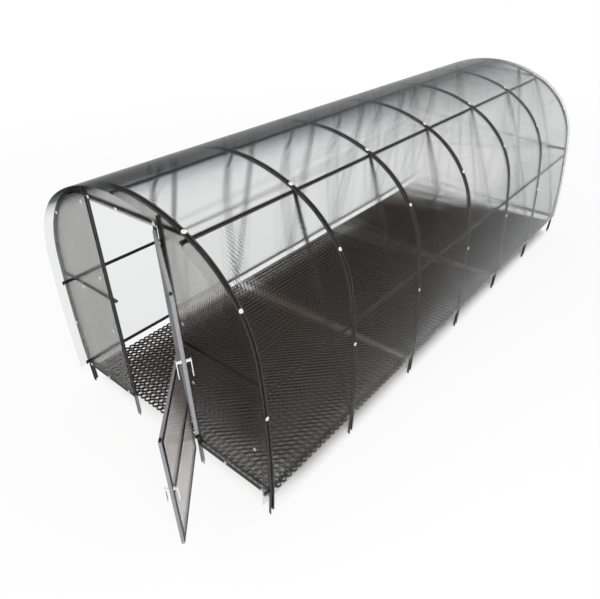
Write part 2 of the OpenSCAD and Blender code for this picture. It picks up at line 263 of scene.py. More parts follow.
# Matt wall paint: white, rough, with almost no shine.
floor_paint, tree, place, shader = new_material("studio_floor_paint")
feed(tree, shader, {"Base Color": linear("#fbfbfb"), "Roughness": 0.9, "Specular IOR Level": 0.1})
split = add(tree, "ShaderNodeSeparateXYZ", {"Vector": (place, "Object")})
inside = under_house(tree, split)
reach = add(tree, "ShaderNodeVectorMath", {0: (place, "Object")}, operation="LENGTH")
share_open = add(tree, "ShaderNodeMapRange", {"Value": (reach, "Value"),
                                              "From Min": FADE_START, "From Max": FADE_END,
                                              "To Min": WHITE_SHARE_OPEN, "To Max": 1.0})
share_here = add(tree, "ShaderNodeMapRange", {"Value": (inside, 0), "To Min": (share_open, "Result"),
                                              "To Max": WHITE_SHARE_INSIDE})
seen = seen_rays(tree)
share = add(tree, "ShaderNodeMath", {0: (seen, 0), 1: (share_here, "Result")}, operation="MULTIPLY")
white = add(tree, "ShaderNodeEmission", {"Color": linear("#ffffff"), "Strength": 1.0})
floor_mix = add(tree, "ShaderNodeMixShader", {"Fac": (share, 0), 1: (shader, "BSDF"), 2: (white, 0)})
feed(tree, tree.nodes["Material Output"], {"Surface": (floor_mix, 0)})
floor.data.materials.append(floor_paint)
print("floor", FLOOR_SIZE, "m square,", len(floor.data.polygons), "faces")

# %% [markdown]
# The world lights the greenhouse evenly at three quarters of full white, and shows itself full white. One
# softbox stands high at the front right. A ray that comes through the house crosses many sheets, each
# with two faces, so the light paths are made long enough not to end in the dark halfway.

# %% World, lamp and light paths
WORLD_LIGHT = 0.75
world = bpy.data.worlds.new("studio")
bpy.context.scene.world = world
world.use_nodes = True
tree = world.node_tree
tree.nodes.clear()
light_sky = add(tree, "ShaderNodeBackground", {"Color": linear("#ffffff"), "Strength": WORLD_LIGHT})
seen_sky = add(tree, "ShaderNodeBackground", {"Color": linear("#ffffff"), "Strength": 1.0})
sky = add(tree, "ShaderNodeMixShader", {"Fac": (seen_rays(tree), 0), 1: (light_sky, 0), 2: (seen_sky, 0)})
add(tree, "ShaderNodeOutputWorld", {"Surface": (sky, 0)})


def softbox(name, place, target, size, watts):
    """A square area lamp that faces a point."""
    data = bpy.data.lights.new(name, "AREA")
    data.size = size
    data.energy = watts
    lamp = bpy.data.objects.new(name, data)
    lamp.location = place
    lamp.rotation_euler = (Vector(target) - Vector(place)).to_track_quat("-Z", "Y").to_euler()
    bpy.context.scene.collection.objects.link(lamp)
    print(name, "at", place, "gives", watts, "W")


softbox("key_softbox", place=(5.5, -6.0, 7.0), target=(0.0, 0.0, 1.0), size=4.0, watts=420.0)
bpy.context.scene.view_settings.view_transform = "Standard"
bpy.context.scene.cycles.transparent_max_bounces = 32
bpy.context.scene.cycles.transmission_bounces = 24
bpy.context.scene.cycles.max_bounces = 24

# %% [markdown]
# ## Painted steel
# The frame is folded galvanized sheet with a black powder coat: a hard, slightly pebbled plastic film.
# It is nearly black, reflects softly, and gets greyer where hands, dust and rain have dulled it. Two
# noises do that: a broad one for dust and wear, and a fine one for the pebbled "orange peel". A picture
# of paint would do too, but it needs unwrapping, and it repeats along six metres of rail.
#
# Some places show zinc grey in place of the coat: the narrow sides of the leaves' tubes, and the door
# posts' feet. The feet are unpainted zinc, and the narrow sides are given the same grey, but on both it is
# partly painted light: these faces catch the light, and their light grey stands in for it. A mask from 0
# to 1 says where, and the coat gives way to the lit zinc there.

# %% Powder-coated steel
# How much rougher the coat is where it is dusty and worn
DULLED_BY = 0.2


def lit_zinc_skin(tree, place):
    """Colour of zinc, which also serves as a painted highlight on lit faces: grey, with the faint cloudy
    spangle of hot galvanizing, 5 to 10 mm across.
    """
    spangle = add(tree, "ShaderNodeTexVoronoi", {"Vector": (place, "Object"),
                                                 "Scale": scale_for(7.14 * MM)})
    return add(tree, "ShaderNodeValToRGB", {"Fac": (spangle, "Distance")},
               stops=[(0.1, linear("#797b7e")), (0.7, linear("#8f9194"))])


def powder_coat(name, dark, worn, roughness, lit_zinc_mask=None):
    """Powder coat: a coloured plastic film on steel, IOR about 1.5, with dusty patches a hand's length
    wide. lit_zinc_mask(tree, place) gives the mask of the places painted in lit zinc instead."""
    material, tree, place, shader = new_material(name)
    patches = add(tree, "ShaderNodeTexNoise", {"Vector": (place, "Object"), "Scale": scale_for(167 * MM),
                                               "Detail": 5.0, "Roughness": 0.65})
    tone = add(tree, "ShaderNodeValToRGB", {"Fac": (patches, "Fac")},
               stops=[(0.35, linear(dark)), (0.8, linear(worn))])
    dullness = add(tree, "ShaderNodeMapRange", {"Value": (patches, "Fac"),
                                                "From Min": 0.3, "From Max": 0.75,
                                                "To Min": roughness, "To Max": roughness + DULLED_BY})
    # The coat's pebbles are about 1 mm across.
    pebbles = add(tree, "ShaderNodeTexNoise", {"Vector": (place, "Object"), "Scale": scale_for(1.11 * MM),
                                               "Detail": 2.0})
    bump = add(tree, "ShaderNodeBump", {"Height": (pebbles, "Fac"), "Strength": 0.15, "Distance": 0.3 * MM})
    colour = (tone, "Color")
    if lit_zinc_mask:
        skin = lit_zinc_skin(tree, place)
        mixed = add(tree, "ShaderNodeMix", {0: (lit_zinc_mask(tree, place), 0), 6: colour, 7: (skin, "Color")},
                    data_type="RGBA")
        colour = (mixed, 2)
    feed(tree, shader, {"Base Color": colour, "Roughness": (dullness, "Result"), "Normal": (bump, "Normal")})
    print(name, "from", dark, "to", worn)
    return material


# %% [markdown]
# The leaves stand open in the model. The range of a leaf's joint starts where it is shut, so the first
# limit tells how far it has been opened, and with that angle the directions along the leaf and through
# its thickness follow. The narrow sides of its tubes are the faces that don't look through the leaf.

# %% Where the lit zinc is painted
HALFWAY = 0.7  # Cosine of about 45 degrees


def under_base_bars(tree, place):
    """Mask of a post's foot, under the base bars, whose zinc grey is partly a painted highlight."""
    split = add(tree, "ShaderNodeSeparateXYZ", {"Vector": (place, "Object")})
    return add(tree, "ShaderNodeMath", {0: (split, "Z"), 1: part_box("front_base_bars")[0].z},
               operation="LESS_THAN")


def opened_by(leaf):
    """Degrees from the shut leaf to the leaf as it stands."""
    return -joints[f"{leaf}_hinge"]["range_deg"][0]


def leaf_directions(leaf):
    """Directions from the hinge along an open leaf, and through its thickness."""
    opened = math.radians(opened_by(leaf))
    along = Vector((-math.cos(opened), -math.sin(opened), 0.0))
    through = Vector((-math.sin(opened), math.cos(opened), 0.0))
    return along, through


def narrow_sides(leaf):
    """Mask of the sides of a leaf's tubes that stand across its face, painted in lit zinc as a highlight."""
    def mask(tree, place):
        through = leaf_directions(leaf)[1]
        part = add(tree, "ShaderNodeVectorMath", {0: (place, "Normal"), 1: through},
                   operation="DOT_PRODUCT")
        size = add(tree, "ShaderNodeMath", {0: (part, "Value")}, operation="ABSOLUTE")
        return add(tree, "ShaderNodeMath", {0: (size, 0), 1: HALFWAY}, operation="LESS_THAN")
    return mask


print("leaves stand open by", [round(opened_by(leaf)) for leaf in LEAVES], "degrees")

# %% [markdown]
# Most of the frame keeps its dark coat. The parts that face the light, the arches, the ridge rail, the rails
# and braces on the right, and the level bars at the front's waist, get a lighter copy of the same coat.
# That is painted light: the lighter grey stands in for the light they catch. The door posts' coat lies
# between the two, lighter as painted light too, with zinc feet, and each leaf has a coat of its own,
# because its mask needs its own directions.

# %% Coats on the frame
frame_coat = powder_coat("powder_coated_steel_black", "#1e1f22", "#2e3033", 0.38)
# A lighter copy of the black coat: painted light, a grey that stands in for the light on the parts facing it
lit_side_coat = powder_coat("powder_coated_steel_painted_light", "#53565b", "#6a6d72", 0.42)
# Posts: a coat lighter as painted light, and zinc feet whose light grey is partly a painted highlight
post_coat = powder_coat("powder_coated_steel_lit_zinc_feet", "#2a2c2f", "#3c3e42", 0.38, under_base_bars)
# What the names of the nodes with the painted-light coat start with
lit_side_nodes = ("arch_", "ridge_rail", "shoulder_rail_right", "waist_rail_right", "braces_right",
              "front_waist")
sheet_nodes = [name for name in nodes if "sheet" in name or name.startswith("cover")]
plain_steel = [name for name in nodes if name not in sheet_nodes and
               not name.startswith(("floor_mat", "front_post")) and
               not name.endswith(("_handles", "leaf_frame"))]
dress([name for name in plain_steel if not name.startswith(lit_side_nodes)], frame_coat)
dress([name for name in plain_steel if name.startswith(lit_side_nodes)], lit_side_coat)
dress([name for name in nodes if name.startswith("front_post")], post_coat)
# Each leaf's coat, with a painted highlight in lit zinc on its tubes' narrow sides
for leaf in LEAVES:
    dress([f"{leaf}_frame"], powder_coat(f"powder_coated_tube_{leaf}", "#222326", "#34363a", 0.36,
                                         narrow_sides(leaf)))

# %% [markdown]
# ## Twin-wall sheet
# Twin-wall polycarbonate is extruded: two thin walls joined by ribs every few millimetres. Each cell
# acts as a long thin lens. What touches the sheet stays sharp, while what stands far behind it
# smears across the ribs. Modelling thousands of cells would cost more than it shows, so the plate keeps
# its true thickness, and a sine wave on its shading normal bends the light as the cells do. The ribs of
# a 4 mm sheet stand about 6 mm apart. That is too fine to show, so the wave is 20 mm long.
#
# Polycarbonate has an index of 1.585, but a 4 mm sheet holds only about 0.7 mm of it, and the rest is
# air. So the index is set to little over 1, which keeps the plate's mirror image faint.

# %% Ribs
HOLLOW_SHEET_IOR = 1.05
RIB_PITCH = 20 * MM


def ribbed_normal(tree, place, across, lens):
    """Shading normal that swings to and fro over the ribs. lens is how far it swings."""
    along = add(tree, "ShaderNodeVectorMath", {0: (place, "Object"), 1: across}, operation="DOT_PRODUCT")
    per_metre = 2 * math.pi / RIB_PITCH
    phase = add(tree, "ShaderNodeMath", {0: (along, "Value"), 1: per_metre}, operation="MULTIPLY")
    wave = add(tree, "ShaderNodeMath", {0: (phase, 0)}, operation="SINE")
    tilt = add(tree, "ShaderNodeMath", {0: (wave, 0), 1: lens}, operation="MULTIPLY")
    lean = add(tree, "ShaderNodeVectorMath", {0: across, "Scale": (tilt, 0)}, operation="SCALE")
    lean_world = add(tree, "ShaderNodeVectorTransform", {"Vector": (lean, "Vector")},
                     vector_type="VECTOR", convert_from="OBJECT", convert_to="WORLD")
    surface = add(tree, "ShaderNodeNewGeometry")
    bent = add(tree, "ShaderNodeVectorMath", {0: (surface, "Normal"), 1: (lean_world, 0)}, operation="ADD")
    return add(tree, "ShaderNodeVectorMath", {0: (bent, 0)}, operation="NORMALIZE")


print("ribs every", round(RIB_PITCH / MM), "mm")

# %% [markdown]
# A sheet is nearly clear square on and darkens towards edge on. Partly that is the many ribs a ray meets
# there, and partly it is painted reflection: the dark tones edge on stand in for a dark surrounding that
# the sheet would mirror. Layer Weight's Facing gives that angle, from 0 square on to 1 edge on, and a ramp
# of tones turns it into a colour. On the cover the tones set in as written on the roof by the door, and
# further back and down the walls they come later: the angle loses a little per metre along the house, and
# some more below the shoulders.

# %% Tones of the sheets
# The darkest tones edge on are painted reflection, a dark surrounding mirrored in the sheet
# Each tone is the angle at which it is reached, and its colour.
COVER_TONES = [(0.42, "#f0f1f1"), (0.53, "#dcdedf"), (0.61, "#a8aaab"), (0.68, "#424446"),
               (1.0, "#2a2c2e")]
PANEL_TONES = [(0.05, "#f1f1f1"), (0.20, "#e9e9e8"), (0.34, "#dddcdb"), (0.60, "#b3b2b1"),
               (0.95, "#818080")]
LEAF_TONES = [(0.05, "#f0f2f3"), (0.40, "#e2e3e4"), (0.70, "#e6e4e2"), (0.95, "#dad8d6")]
FALL_PER_METRE = 0.021
FALL_ON_WALLS = 0.09
# Heights at which the walls' fall starts, coming down the roof, and is complete
SHOULDER_TOP, SHOULDER_FOOT = 2.05, 1.6


def sheet_tint(tree, place, tones, fall):
    """Colour by angle. With a fall of 1 the tones come later down the walls and further in, with 0 not."""
    angle = add(tree, "ShaderNodeLayerWeight", {"Blend": 0.5})
    house = add(tree, "ShaderNodeSeparateXYZ", {"Vector": (place, "Object")})
    length = arch_y[-1] - arch_y[0]
    inwards = add(tree, "ShaderNodeMapRange", {"Value": (house, "Y"), "From Min": arch_y[0],
                                               "From Max": arch_y[-1],
                                               "To Max": fall * FALL_PER_METRE * length})
    down = add(tree, "ShaderNodeMapRange", {"Value": (house, "Z"), "From Min": SHOULDER_TOP,
                                            "From Max": SHOULDER_FOOT, "To Max": fall * FALL_ON_WALLS})
    less = add(tree, "ShaderNodeMath", {0: (inwards, "Result"), 1: (down, "Result")}, operation="ADD")
    rest = add(tree, "ShaderNodeMath", {0: (angle, "Facing"), 1: (less, 0)}, operation="SUBTRACT")
    return add(tree, "ShaderNodeValToRGB", {"Fac": (rest, 0)},
               stops=[(stop, linear(tone)) for stop, tone in tones])


print("tones:", len(COVER_TONES), "cover,", len(PANEL_TONES), "gables,", len(LEAF_TONES), "door")

# %% [markdown]
# Between two ribs a ray passes straight through both walls, so a quarter of all rays take a plain
# transparent way. The rest go through the Principled shader, whose transmission is the sheet's
# clearness. What is missing from 1 scatters as haze does: hardly any on the cover, a little on the
# gables, and a third on the door, which hands and weather have made milky.
#
# Soft light comes in by shadow rays and diffuse rays. All of it takes the straight way, because a bent
# shadow ray would find no lamp. It is dimmed at each of the plate's two faces, and more so in the blue,
# which makes the inside of the house dim and warm.

# %% Polycarbonate
DIRECT_SHARE = 0.25
SOFT_SHADE = (0.55, 0.47, 0.40)
WALL_ROUGHNESS = 0.02


def twin_wall(name, across, lens, clearness, tones, fall=0.0):
    """Clear ribbed sheet. across is the direction over its ribs."""
    material, tree, place, shader = new_material(name)
    tint = sheet_tint(tree, place, tones, fall)
    normal = ribbed_normal(tree, place, across, lens)
    feed(tree, shader, {"Base Color": (tint, "Color"), "Normal": (normal, "Vector"), "IOR": HOLLOW_SHEET_IOR,
                        "Roughness": WALL_ROUGHNESS, "Transmission Weight": clearness})
    path = add(tree, "ShaderNodeLightPath")
    soft = add(tree, "ShaderNodeMath", {0: (path, "Is Shadow Ray"), 1: (path, "Is Diffuse Ray")},
               operation="MAXIMUM")
    straight = add(tree, "ShaderNodeMath", {0: (soft, 0), 1: DIRECT_SHARE}, operation="MAXIMUM")
    # A ray crosses two faces of the plate, so each takes the root of the colour.
    root = add(tree, "ShaderNodeGamma", {"Color": (tint, "Color"), "Gamma": 0.5})
    shade = add(tree, "ShaderNodeValToRGB", {"Fac": (soft, 0)},
                stops=[(0.0, (1.0, 1.0, 1.0, 1.0)), (1.0, (*SOFT_SHADE, 1.0))])
    dimmed = add(tree, "ShaderNodeVectorMath", {0: (root, 0), 1: (shade, "Color")}, operation="MULTIPLY")
    open_way = add(tree, "ShaderNodeBsdfTransparent", {"Color": (dimmed, 0)})
    both = add(tree, "ShaderNodeMixShader", {"Fac": (straight, 0), 1: (shader, "BSDF"), 2: (open_way, 0)})
    feed(tree, tree.nodes["Material Output"], {"Surface": (both, 0)})
    return material


print("soft light left after a plate:", [round(share**2, 2) for share in SOFT_SHADE])

# %% [markdown]
# The cover's ribs run over the house along the arches, so "across" is along the house. The gables' ribs
# stand upright, and so do the leaves', whose "across" turns with them. The flat sheets bend the light a
# little more than the cover, which is pulled tight over its arches.

# %% Sheets on the house and its door
COVER_LENS, PANEL_LENS = 0.18, 0.22
COVER_CLEARNESS, PANEL_CLEARNESS, LEAF_CLEARNESS = 0.996, 0.988, 0.68
covers = [name for name in sheet_nodes if name.startswith("cover")]
panels = [name for name in sheet_nodes if name.startswith(("front", "back"))]
cover_sheet = twin_wall("twin_wall_polycarbonate_cover", (0, 1, 0), COVER_LENS, COVER_CLEARNESS,
                        COVER_TONES, fall=1.0)
dress(covers, cover_sheet)
gable_sheet = twin_wall("twin_wall_polycarbonate_gable", (1, 0, 0), PANEL_LENS, PANEL_CLEARNESS,
                        PANEL_TONES)
dress(panels, gable_sheet)
for leaf in LEAVES:
    across = leaf_directions(leaf)[0]
    leaf_sheet = twin_wall(f"twin_wall_polycarbonate_{leaf}", across, PANEL_LENS, LEAF_CLEARNESS, LEAF_TONES)
    dress([f"{leaf}_sheet"], leaf_sheet)

# %% [markdown]
# ## White plastic
# The handles and washers are injection-moulded ABS, dyed white: slightly glossy, and clouded over a few
# centimetres where sun and dust have yellowed it a little.

# %% White plastic
white_plastic, tree, place, shader = new_material("moulded_plastic_white")
clouded(tree, place, shader, 25 * MM, 4.0, [(0.3, "#dfdfdd"), (0.7, "#f0f0ee")])
feed(tree, shader, {"Roughness": 0.35})
print(white_plastic.name, "has", len(tree.nodes), "shader nodes")

# %% [markdown]
# ## Making and copying pieces
# Small parts repeat many times: dozens of washers, bolts and caps, thousands of rubber rings. Each is
# modelled once with edit-mode operators. Its copies are moved to their places by matrices and joined into
# one piece per kind, which rides on the body it is fixed to.

# %% Helpers for modelling
def only(obj):
    """Selects one object and makes it the active one."""
    bpy.ops.object.select_all(action="DESELECT")
    obj.select_set(True)
    bpy.context.view_layer.objects.active = obj


def edit(obj):
    """Opens one object in edit mode with nothing selected."""
    only(obj)
    bpy.ops.object.mode_set(mode="EDIT")
    bpy.ops.mesh.select_all(action="DESELECT")


def pick_faces(obj, wanted):
    """Selects the faces of the open mesh for which wanted(centre, normal) is true."""
    bpy.ops.object.mode_set(mode="OBJECT")
    for face in obj.data.polygons:
        face.select = bool(wanted(face.center, face.normal))
    bpy.ops.object.mode_set(mode="EDIT")
    bpy.ops.mesh.select_mode(type="FACE")


def leave_edit():
    """Points all faces outwards and closes edit mode."""
    bpy.ops.mesh.select_all(action="SELECT")
    bpy.ops.mesh.normals_make_consistent(inside=False)
    bpy.ops.object.mode_set(mode="OBJECT")


def bake_place(obj):
    """Moves an object's place and turn into its mesh."""
    only(obj)
    bpy.ops.object.transform_apply(location=True, rotation=True, scale=True)


def finish_with(obj, kind, **settings):
    """Adds a modifier and applies it."""
    only(obj)
    modifier = obj.modifiers.new(kind.lower(), kind)
    for name, value in settings.items():
        setattr(modifier, name, value)
    bpy.ops.object.modifier_apply(modifier=modifier.name)


print("modelling starts in", bpy.context.mode.lower(), "mode")


# %% [markdown]
# Copies and joined pieces have helpers of their own, and so does the search for a place: a ray sent at
# the CAD model returns the point that it meets, and the way the surface faces there.

# %% Helpers for places and pieces
def join(parts, name, material, body):
    """Joins meshes into one named piece with a material, which rides on a body."""
    bpy.ops.object.select_all(action="DESELECT")
    for part in parts:
        part.select_set(True)
    bpy.context.view_layer.objects.active = parts[0]
    if len(parts) > 1:
        bpy.ops.object.join()
    piece = bpy.context.view_layer.objects.active
    piece.name = name
    piece.data.name = name
    piece.data.materials.clear()
    piece.data.materials.append(material)
    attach(piece, body)
    print(name, "has", len(piece.data.polygons), "faces")
    return piece


def copies(model, places, name, material, body):
    """Copies a model to each 4x4 place, joins the copies into one piece and removes the model."""
    made = []
    for place in places:
        obj = bpy.data.objects.new(name, model.data.copy())
        obj.data.transform(place)
        bpy.context.scene.collection.objects.link(obj)
        made.append(obj)
    bpy.data.objects.remove(model)
    return join(made, name, material, body)


def upright(place, normal):
    """Matrix that stands a model's +Z along a normal at a place."""
    return Matrix.Translation(place) @ normal.to_track_quat("Z", "Y").to_matrix().to_4x4()


def touch(names, origin, direction):
    """First point, and the normal there, where a ray meets any of the named CAD nodes."""
    best = None
    for name in names:
        hit, place, normal, _ = nodes[name].ray_cast(origin, direction)
        if hit and (best is None or (place - origin).length < (best[0] - origin).length):
            best = (place, normal)
    if best is None:
        raise RuntimeError(f"the ray from {origin} along {direction} meets none of {names}")
    return best


# A distance from the middle that is outside the house on every side
OUTSIDE = 4.0
ridge, _ = touch(covers, Vector((0, arch_y[1], OUTSIDE)), Vector((0, 0, -1)))
print("the cover's top over the second arch is at z =", round(ridge.z, 3))

# %% [markdown]
# ## Ring mats
# The floor is three rubber mats cast as a grid of open rings, which let water through. The CAD keeps
# each as a plain slab, so the rings stand for it here. One ring is a twelve-sided tube without ends,
# turned so that its flats meet those of its neighbours, and Solidify gives it a wall. It starts in the
# slab's corner at the front right, and two arrays fill the slab with whole rings, to the left and to the
# back. Where an arch's leg stands in the mat, the rings round it are taken out, as a knife would do it.
# A pattern in the material would be lighter, but the rings show the ground and shade each other.

# %% One mat of rings
RINGS_ALONG = 32
RING_SIDES = 12
RING_WALL = 9 * MM
RING_GAP = 0.1 * MM
LEG_ROOM = 26 * MM
rail_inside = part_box("base_rail_right")[0].x


def ring_mat(node, material):
    """A mat of rings in place of a slab. Returns the distance between its rings."""
    low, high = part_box(node)
    pitch = (high.y - low.y) / RINGS_ALONG
    rings_across = math.floor((high.x - low.x) / pitch)
    half_turn = math.pi / RING_SIDES
    centre = (high.x - pitch / 2, low.y + pitch / 2, (low.z + high.z) / 2)
    bpy.ops.mesh.primitive_cylinder_add(vertices=RING_SIDES, depth=high.z - low.z, location=centre,
                                        radius=(pitch - RING_GAP) / 2 / math.cos(half_turn),
                                        rotation=(0, 0, half_turn), end_fill_type="NOTHING")
    ring = bpy.context.active_object
    bake_place(ring)
    finish_with(ring, "SOLIDIFY", thickness=RING_WALL, offset=-1)
    for step, count in (((-pitch, 0, 0), rings_across), ((0, pitch, 0), RINGS_ALONG)):
        finish_with(ring, "ARRAY", use_relative_offset=False, use_constant_offset=True,
                    constant_offset_displace=step, count=count)
    edit(ring)
    pick_faces(ring, lambda c, n: c.x > rail_inside and any(abs(c.y - y) < LEG_ROOM for y in arch_y))
    bpy.ops.mesh.select_linked()
    bpy.ops.mesh.delete(type="FACE")
    leave_edit()
    piece = join([ring], node.replace("floor_mat", "ring_mat"), material, "greenhouse")
    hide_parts(node)
    return pitch


print("a mat has", RINGS_ALONG, "rings along the house")


# %% [markdown]
# Mat rubber is moulded from ground tyres: near black, matt, with a slight brown cast and grit of about
# a millimetre. A little dust sits on it, so the colour wanders over a hand's breadth.

# %% Rubber
rubber, tree, place, shader = new_material("moulded_rubber_black")
clouded(tree, place, shader, 111 * MM, 4.0, [(0.3, "#18110c"), (0.75, "#33281f")])
grit = add(tree, "ShaderNodeTexNoise", {"Vector": (place, "Object"), "Scale": scale_for(1.11 * MM),
                                        "Detail": 2.0})
bump = add(tree, "ShaderNodeBump", {"Height": (grit, "Fac"), "Strength": 0.4, "Distance": 0.5 * MM})
feed(tree, shader, {"Normal": (bump, "Normal"), "Roughness": 0.8})
for node in ("floor_mat_front", "floor_mat_middle", "floor_mat_back"):
    ring_pitch = ring_mat(node, rubber)
print("rings every", round(ring_pitch / MM, 1), "mm")

# %% [markdown]
# ## Black plastic
# Caps and trims are injection-moulded polypropylene, dyed black against the sun: duller than the white
# plastic, with little shine, and a tone that hardly wanders. A cap or trim is a shallow box whose outer
# face is inset and raised, with softened edges. The inset and the rounding are shares of its size, so
# that one function makes a cap of any tube and a long flat trim.

# %% Black plastic and one cap
# The inset as a share of the shorter side, the rise and the softened edge as shares of the thickness
CAP_INSET, CAP_RISE, CAP_SOFT = 0.18, 0.3, 0.12
black_plastic, tree, place, shader = new_material("moulded_plastic_black")
clouded(tree, place, shader, 16.7 * MM, 3.0, [(0.3, "#0f0f11"), (0.7, "#1b1b1e")])
feed(tree, shader, {"Roughness": 0.45, "Specular IOR Level": 0.2})


def cap_model(width, depth, thick):
    """A cap that lies on the XY plane and points along +Z."""
    bpy.ops.mesh.primitive_cube_add(size=1.0, location=(0, 0, thick / 2), scale=(width, depth, thick))
    cap = bpy.context.active_object
    bake_place(cap)
    edit(cap)
    pick_faces(cap, lambda c, n: n.z > 0.9)
    bpy.ops.mesh.inset(thickness=min(width, depth) * CAP_INSET)
    bpy.ops.transform.translate(value=(0, 0, thick * CAP_RISE))
    pick_faces(cap, lambda c, n: n.z > -0.5)
    bpy.ops.mesh.bevel(offset=thick * CAP_SOFT, segments=1)
    leave_edit()
    return cap


print(black_plastic.name, "has", len(tree.nodes), "shader nodes")


# %% [markdown]
# ## Trims at the gables' feet
# A twin-wall sheet's cells are open at its lower edge, and a flat black trim keeps dirt out of them. There
# are four: beside the door on either side, and likewise on the closed gable. Rays find the sheets' outer
# faces, so each trim lies on its sheet.

# %% Trims along the lower edges
TRIM_H = 46 * MM
TRIM_T = 1.2 * MM
trim_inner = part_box("front_sheet_right")[0].x + 2 * MM
trim_outer = 1.19
trim_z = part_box("front_sheet_left")[0].z + TRIM_H / 2
# The sheets of either gable, by the sign of its y
gable_sheets = {end: [name for name in panels if name.startswith(names)]
                for end, names in ((-1, "front"), (1, "back"))}
trims = []
for end in gable_sheets:
    for side in (-1, 1):
        start = Vector((side * (trim_inner + trim_outer) / 2, end * OUTSIDE, trim_z))
        place, normal = touch(gable_sheets[end], start, Vector((0, -end, 0)))
        trim = cap_model(trim_outer - trim_inner, TRIM_H, TRIM_T)
        trim.data.transform(upright(place, normal))
        trims.append(trim)
join(trims, "edge_trims", black_plastic, "greenhouse")

# %% [markdown]
# ## Sheet washers
# Each sheet is held by screws through wide white plastic washers, which spread the load over the thin
# walls. A washer is a low disc with a sloping rim and a raised middle, and the screw's hexagon head
# sits in it. The disc starts as a cylinder: its top is inset and lifted into a dome, then inset and
# raised again for the collar, and sunk inside it for the screw. A spin round its axis would make it too,
# but insets need fewer faces, and there are dozens of washers.

# %% One washer and one screw
WASHER_R = 18 * MM
WASHER_T = 3 * MM
# Each step of the washer's top: how far it goes inwards, and how far up
WASHER_STEPS = ((3 * MM, 1.2 * MM), (6 * MM, 0.6 * MM), (1 * MM, 1.2 * MM), (2 * MM, -1.2 * MM))
# The chamfer of a screw's head, as a share of its height
SCREW_CHAMFER = 0.2


def washer_model():
    """A washer that lies on the XY plane and faces +Z."""
    bpy.ops.mesh.primitive_cylinder_add(vertices=20, radius=WASHER_R, depth=WASHER_T,
                                        location=(0, 0, WASHER_T / 2))
    disc = bpy.context.active_object
    bake_place(disc)
    edit(disc)
    for inward, lift in WASHER_STEPS:
        pick_faces(disc, lambda c, n: c.z > WASHER_T * 0.99 and n.z > 0.99 and c.xy.length < 0.1 * MM)
        bpy.ops.mesh.inset(thickness=inward)
        bpy.ops.transform.translate(value=(0, 0, lift))
    leave_edit()
    return disc


def screw_model(across_flats, height):
    """Hexagon head with a chamfered top."""
    bpy.ops.mesh.primitive_cylinder_add(vertices=6, radius=across_flats / 2 / math.cos(math.pi / 6),
                                        depth=height, location=(0, 0, height / 2))
    head = bpy.context.active_object
    bake_place(head)
    edit(head)
    pick_faces(head, lambda c, n: n.z > 0.9)
    bpy.ops.mesh.bevel(offset=height * SCREW_CHAMFER, segments=1)
    leave_edit()
    return head


print("washers are", round(2 * WASHER_R / MM), "mm wide")


# %% [markdown]
# The places come from rays. Over each arch a ray is sent at the cover from above and two from the side,
# at the heights where the sheets are fixed, and the washer stands on the point it meets. The rays run a
# little beside the arch, because two sheets may meet with a gap right over it. The washers on the sides
# are a little smaller than those on the roof.

# %% Washers on the cover
SHOULDER_X = 0.68
SIDE_HEIGHTS = (1.54, 0.74)
SIDE_WASHER = 0.85
BESIDE = 8 * MM
cover_places = []
for y in arch_y:
    beside = y + BESIDE if y < arch_y[-1] else y - BESIDE
    for side in (-1, 1):
        rays = [(Vector((side * SHOULDER_X, beside, OUTSIDE)), Vector((0, 0, -1)))]
        rays += [(Vector((side * OUTSIDE, beside, base_z + height)), Vector((-side, 0, 0)))
                 for height in SIDE_HEIGHTS]
        for origin, direction in rays:
            place, normal = touch(covers, origin, direction)
            place.y = y
            size = 1.0 if direction.z else SIDE_WASHER
            cover_places.append(upright(place, normal) @ Matrix.Scale(size, 4))
print("washers on the cover:", len(cover_places))

# %% [markdown]
# A gable's sheets are screwed to its posts, its level bars and the arch round it. A place is written as
# its distance from the middle of the house and its height over the base rails. The closed gable has the
# same ones. The lowest row goes through the trims.

# %% Washers on the gables
PANEL_SCREWS = [(-1.01, 1.66), (-0.53, 1.87), (-0.40, 1.94), (-0.04, 1.93), (0.40, 1.94), (-0.53, 1.20),
                (-0.885, 0.99), (-0.53, 0.67), (-1.24, 0.46), (-0.86, -0.012), (-1.17, -0.012),
                (-0.53, -0.012), (0.94, 1.60), (1.14, 0.39), (0.77, -0.012), (1.17, -0.012), (0.53, 1.20),
                (0.53, 0.67)]
panel_places = []
for x, height in PANEL_SCREWS:
    for end in gable_sheets:
        start = Vector((x, end * OUTSIDE, base_z + height))
        place, normal = touch(gable_sheets[end], start, Vector((0, -end, 0)))
        on_trim = TRIM_T if height < 0 else 0.0
        panel_places.append(upright(place + normal * on_trim, normal))
print("washers on the gables:", len(panel_places))

# %% [markdown]
# The screws are steel with a bright zinc plating: a thin bluish grey metal skin, slightly dulled, with
# fine grain from the plating bath. On the gables the washers are three quarters as wide as on the roof,
# and their screws with them. Each screw is lifted to stand on the floor of its washer's collar.

# %% Zinc plating and the washers themselves
zinc, tree, place, shader = new_material("zinc_plated_steel")
clouded(tree, place, shader, 2.5 * MM, 3.0, [(0.3, "#8f9397"), (0.7, "#b4b8bc")])
feed(tree, shader, {"Metallic": 1.0, "Roughness": 0.35})

PANEL_WASHER = Matrix.Scale(0.75, 4)
SCREW_LIFT = Matrix.Translation((0, 0, WASHER_T + 1.8 * MM))
panel_places = [place @ PANEL_WASHER for place in panel_places]
for kind, places in (("cover", cover_places), ("gable", panel_places)):
    copies(washer_model(), places, f"{kind}_washers", white_plastic, "greenhouse")
    screw_places = [place @ SCREW_LIFT for place in places]
    copies(screw_model(8 * MM, 3 * MM), screw_places, f"{kind}_screws", zinc, "greenhouse")

# %% [markdown]
# ## Bolts inside the frame
# Every rail is bolted to every arch. The hexagon heads sit on the rails' inner faces, so a ray is sent
# outwards from the middle of the house to find each one's place. Two more on each leg hold the stake
# that its foot is spliced with.

# %% Frame bolts
rail_names = [f"{kind}_rail_{side}" for kind in ("shoulder", "waist", "base") for side in ("left", "right")]
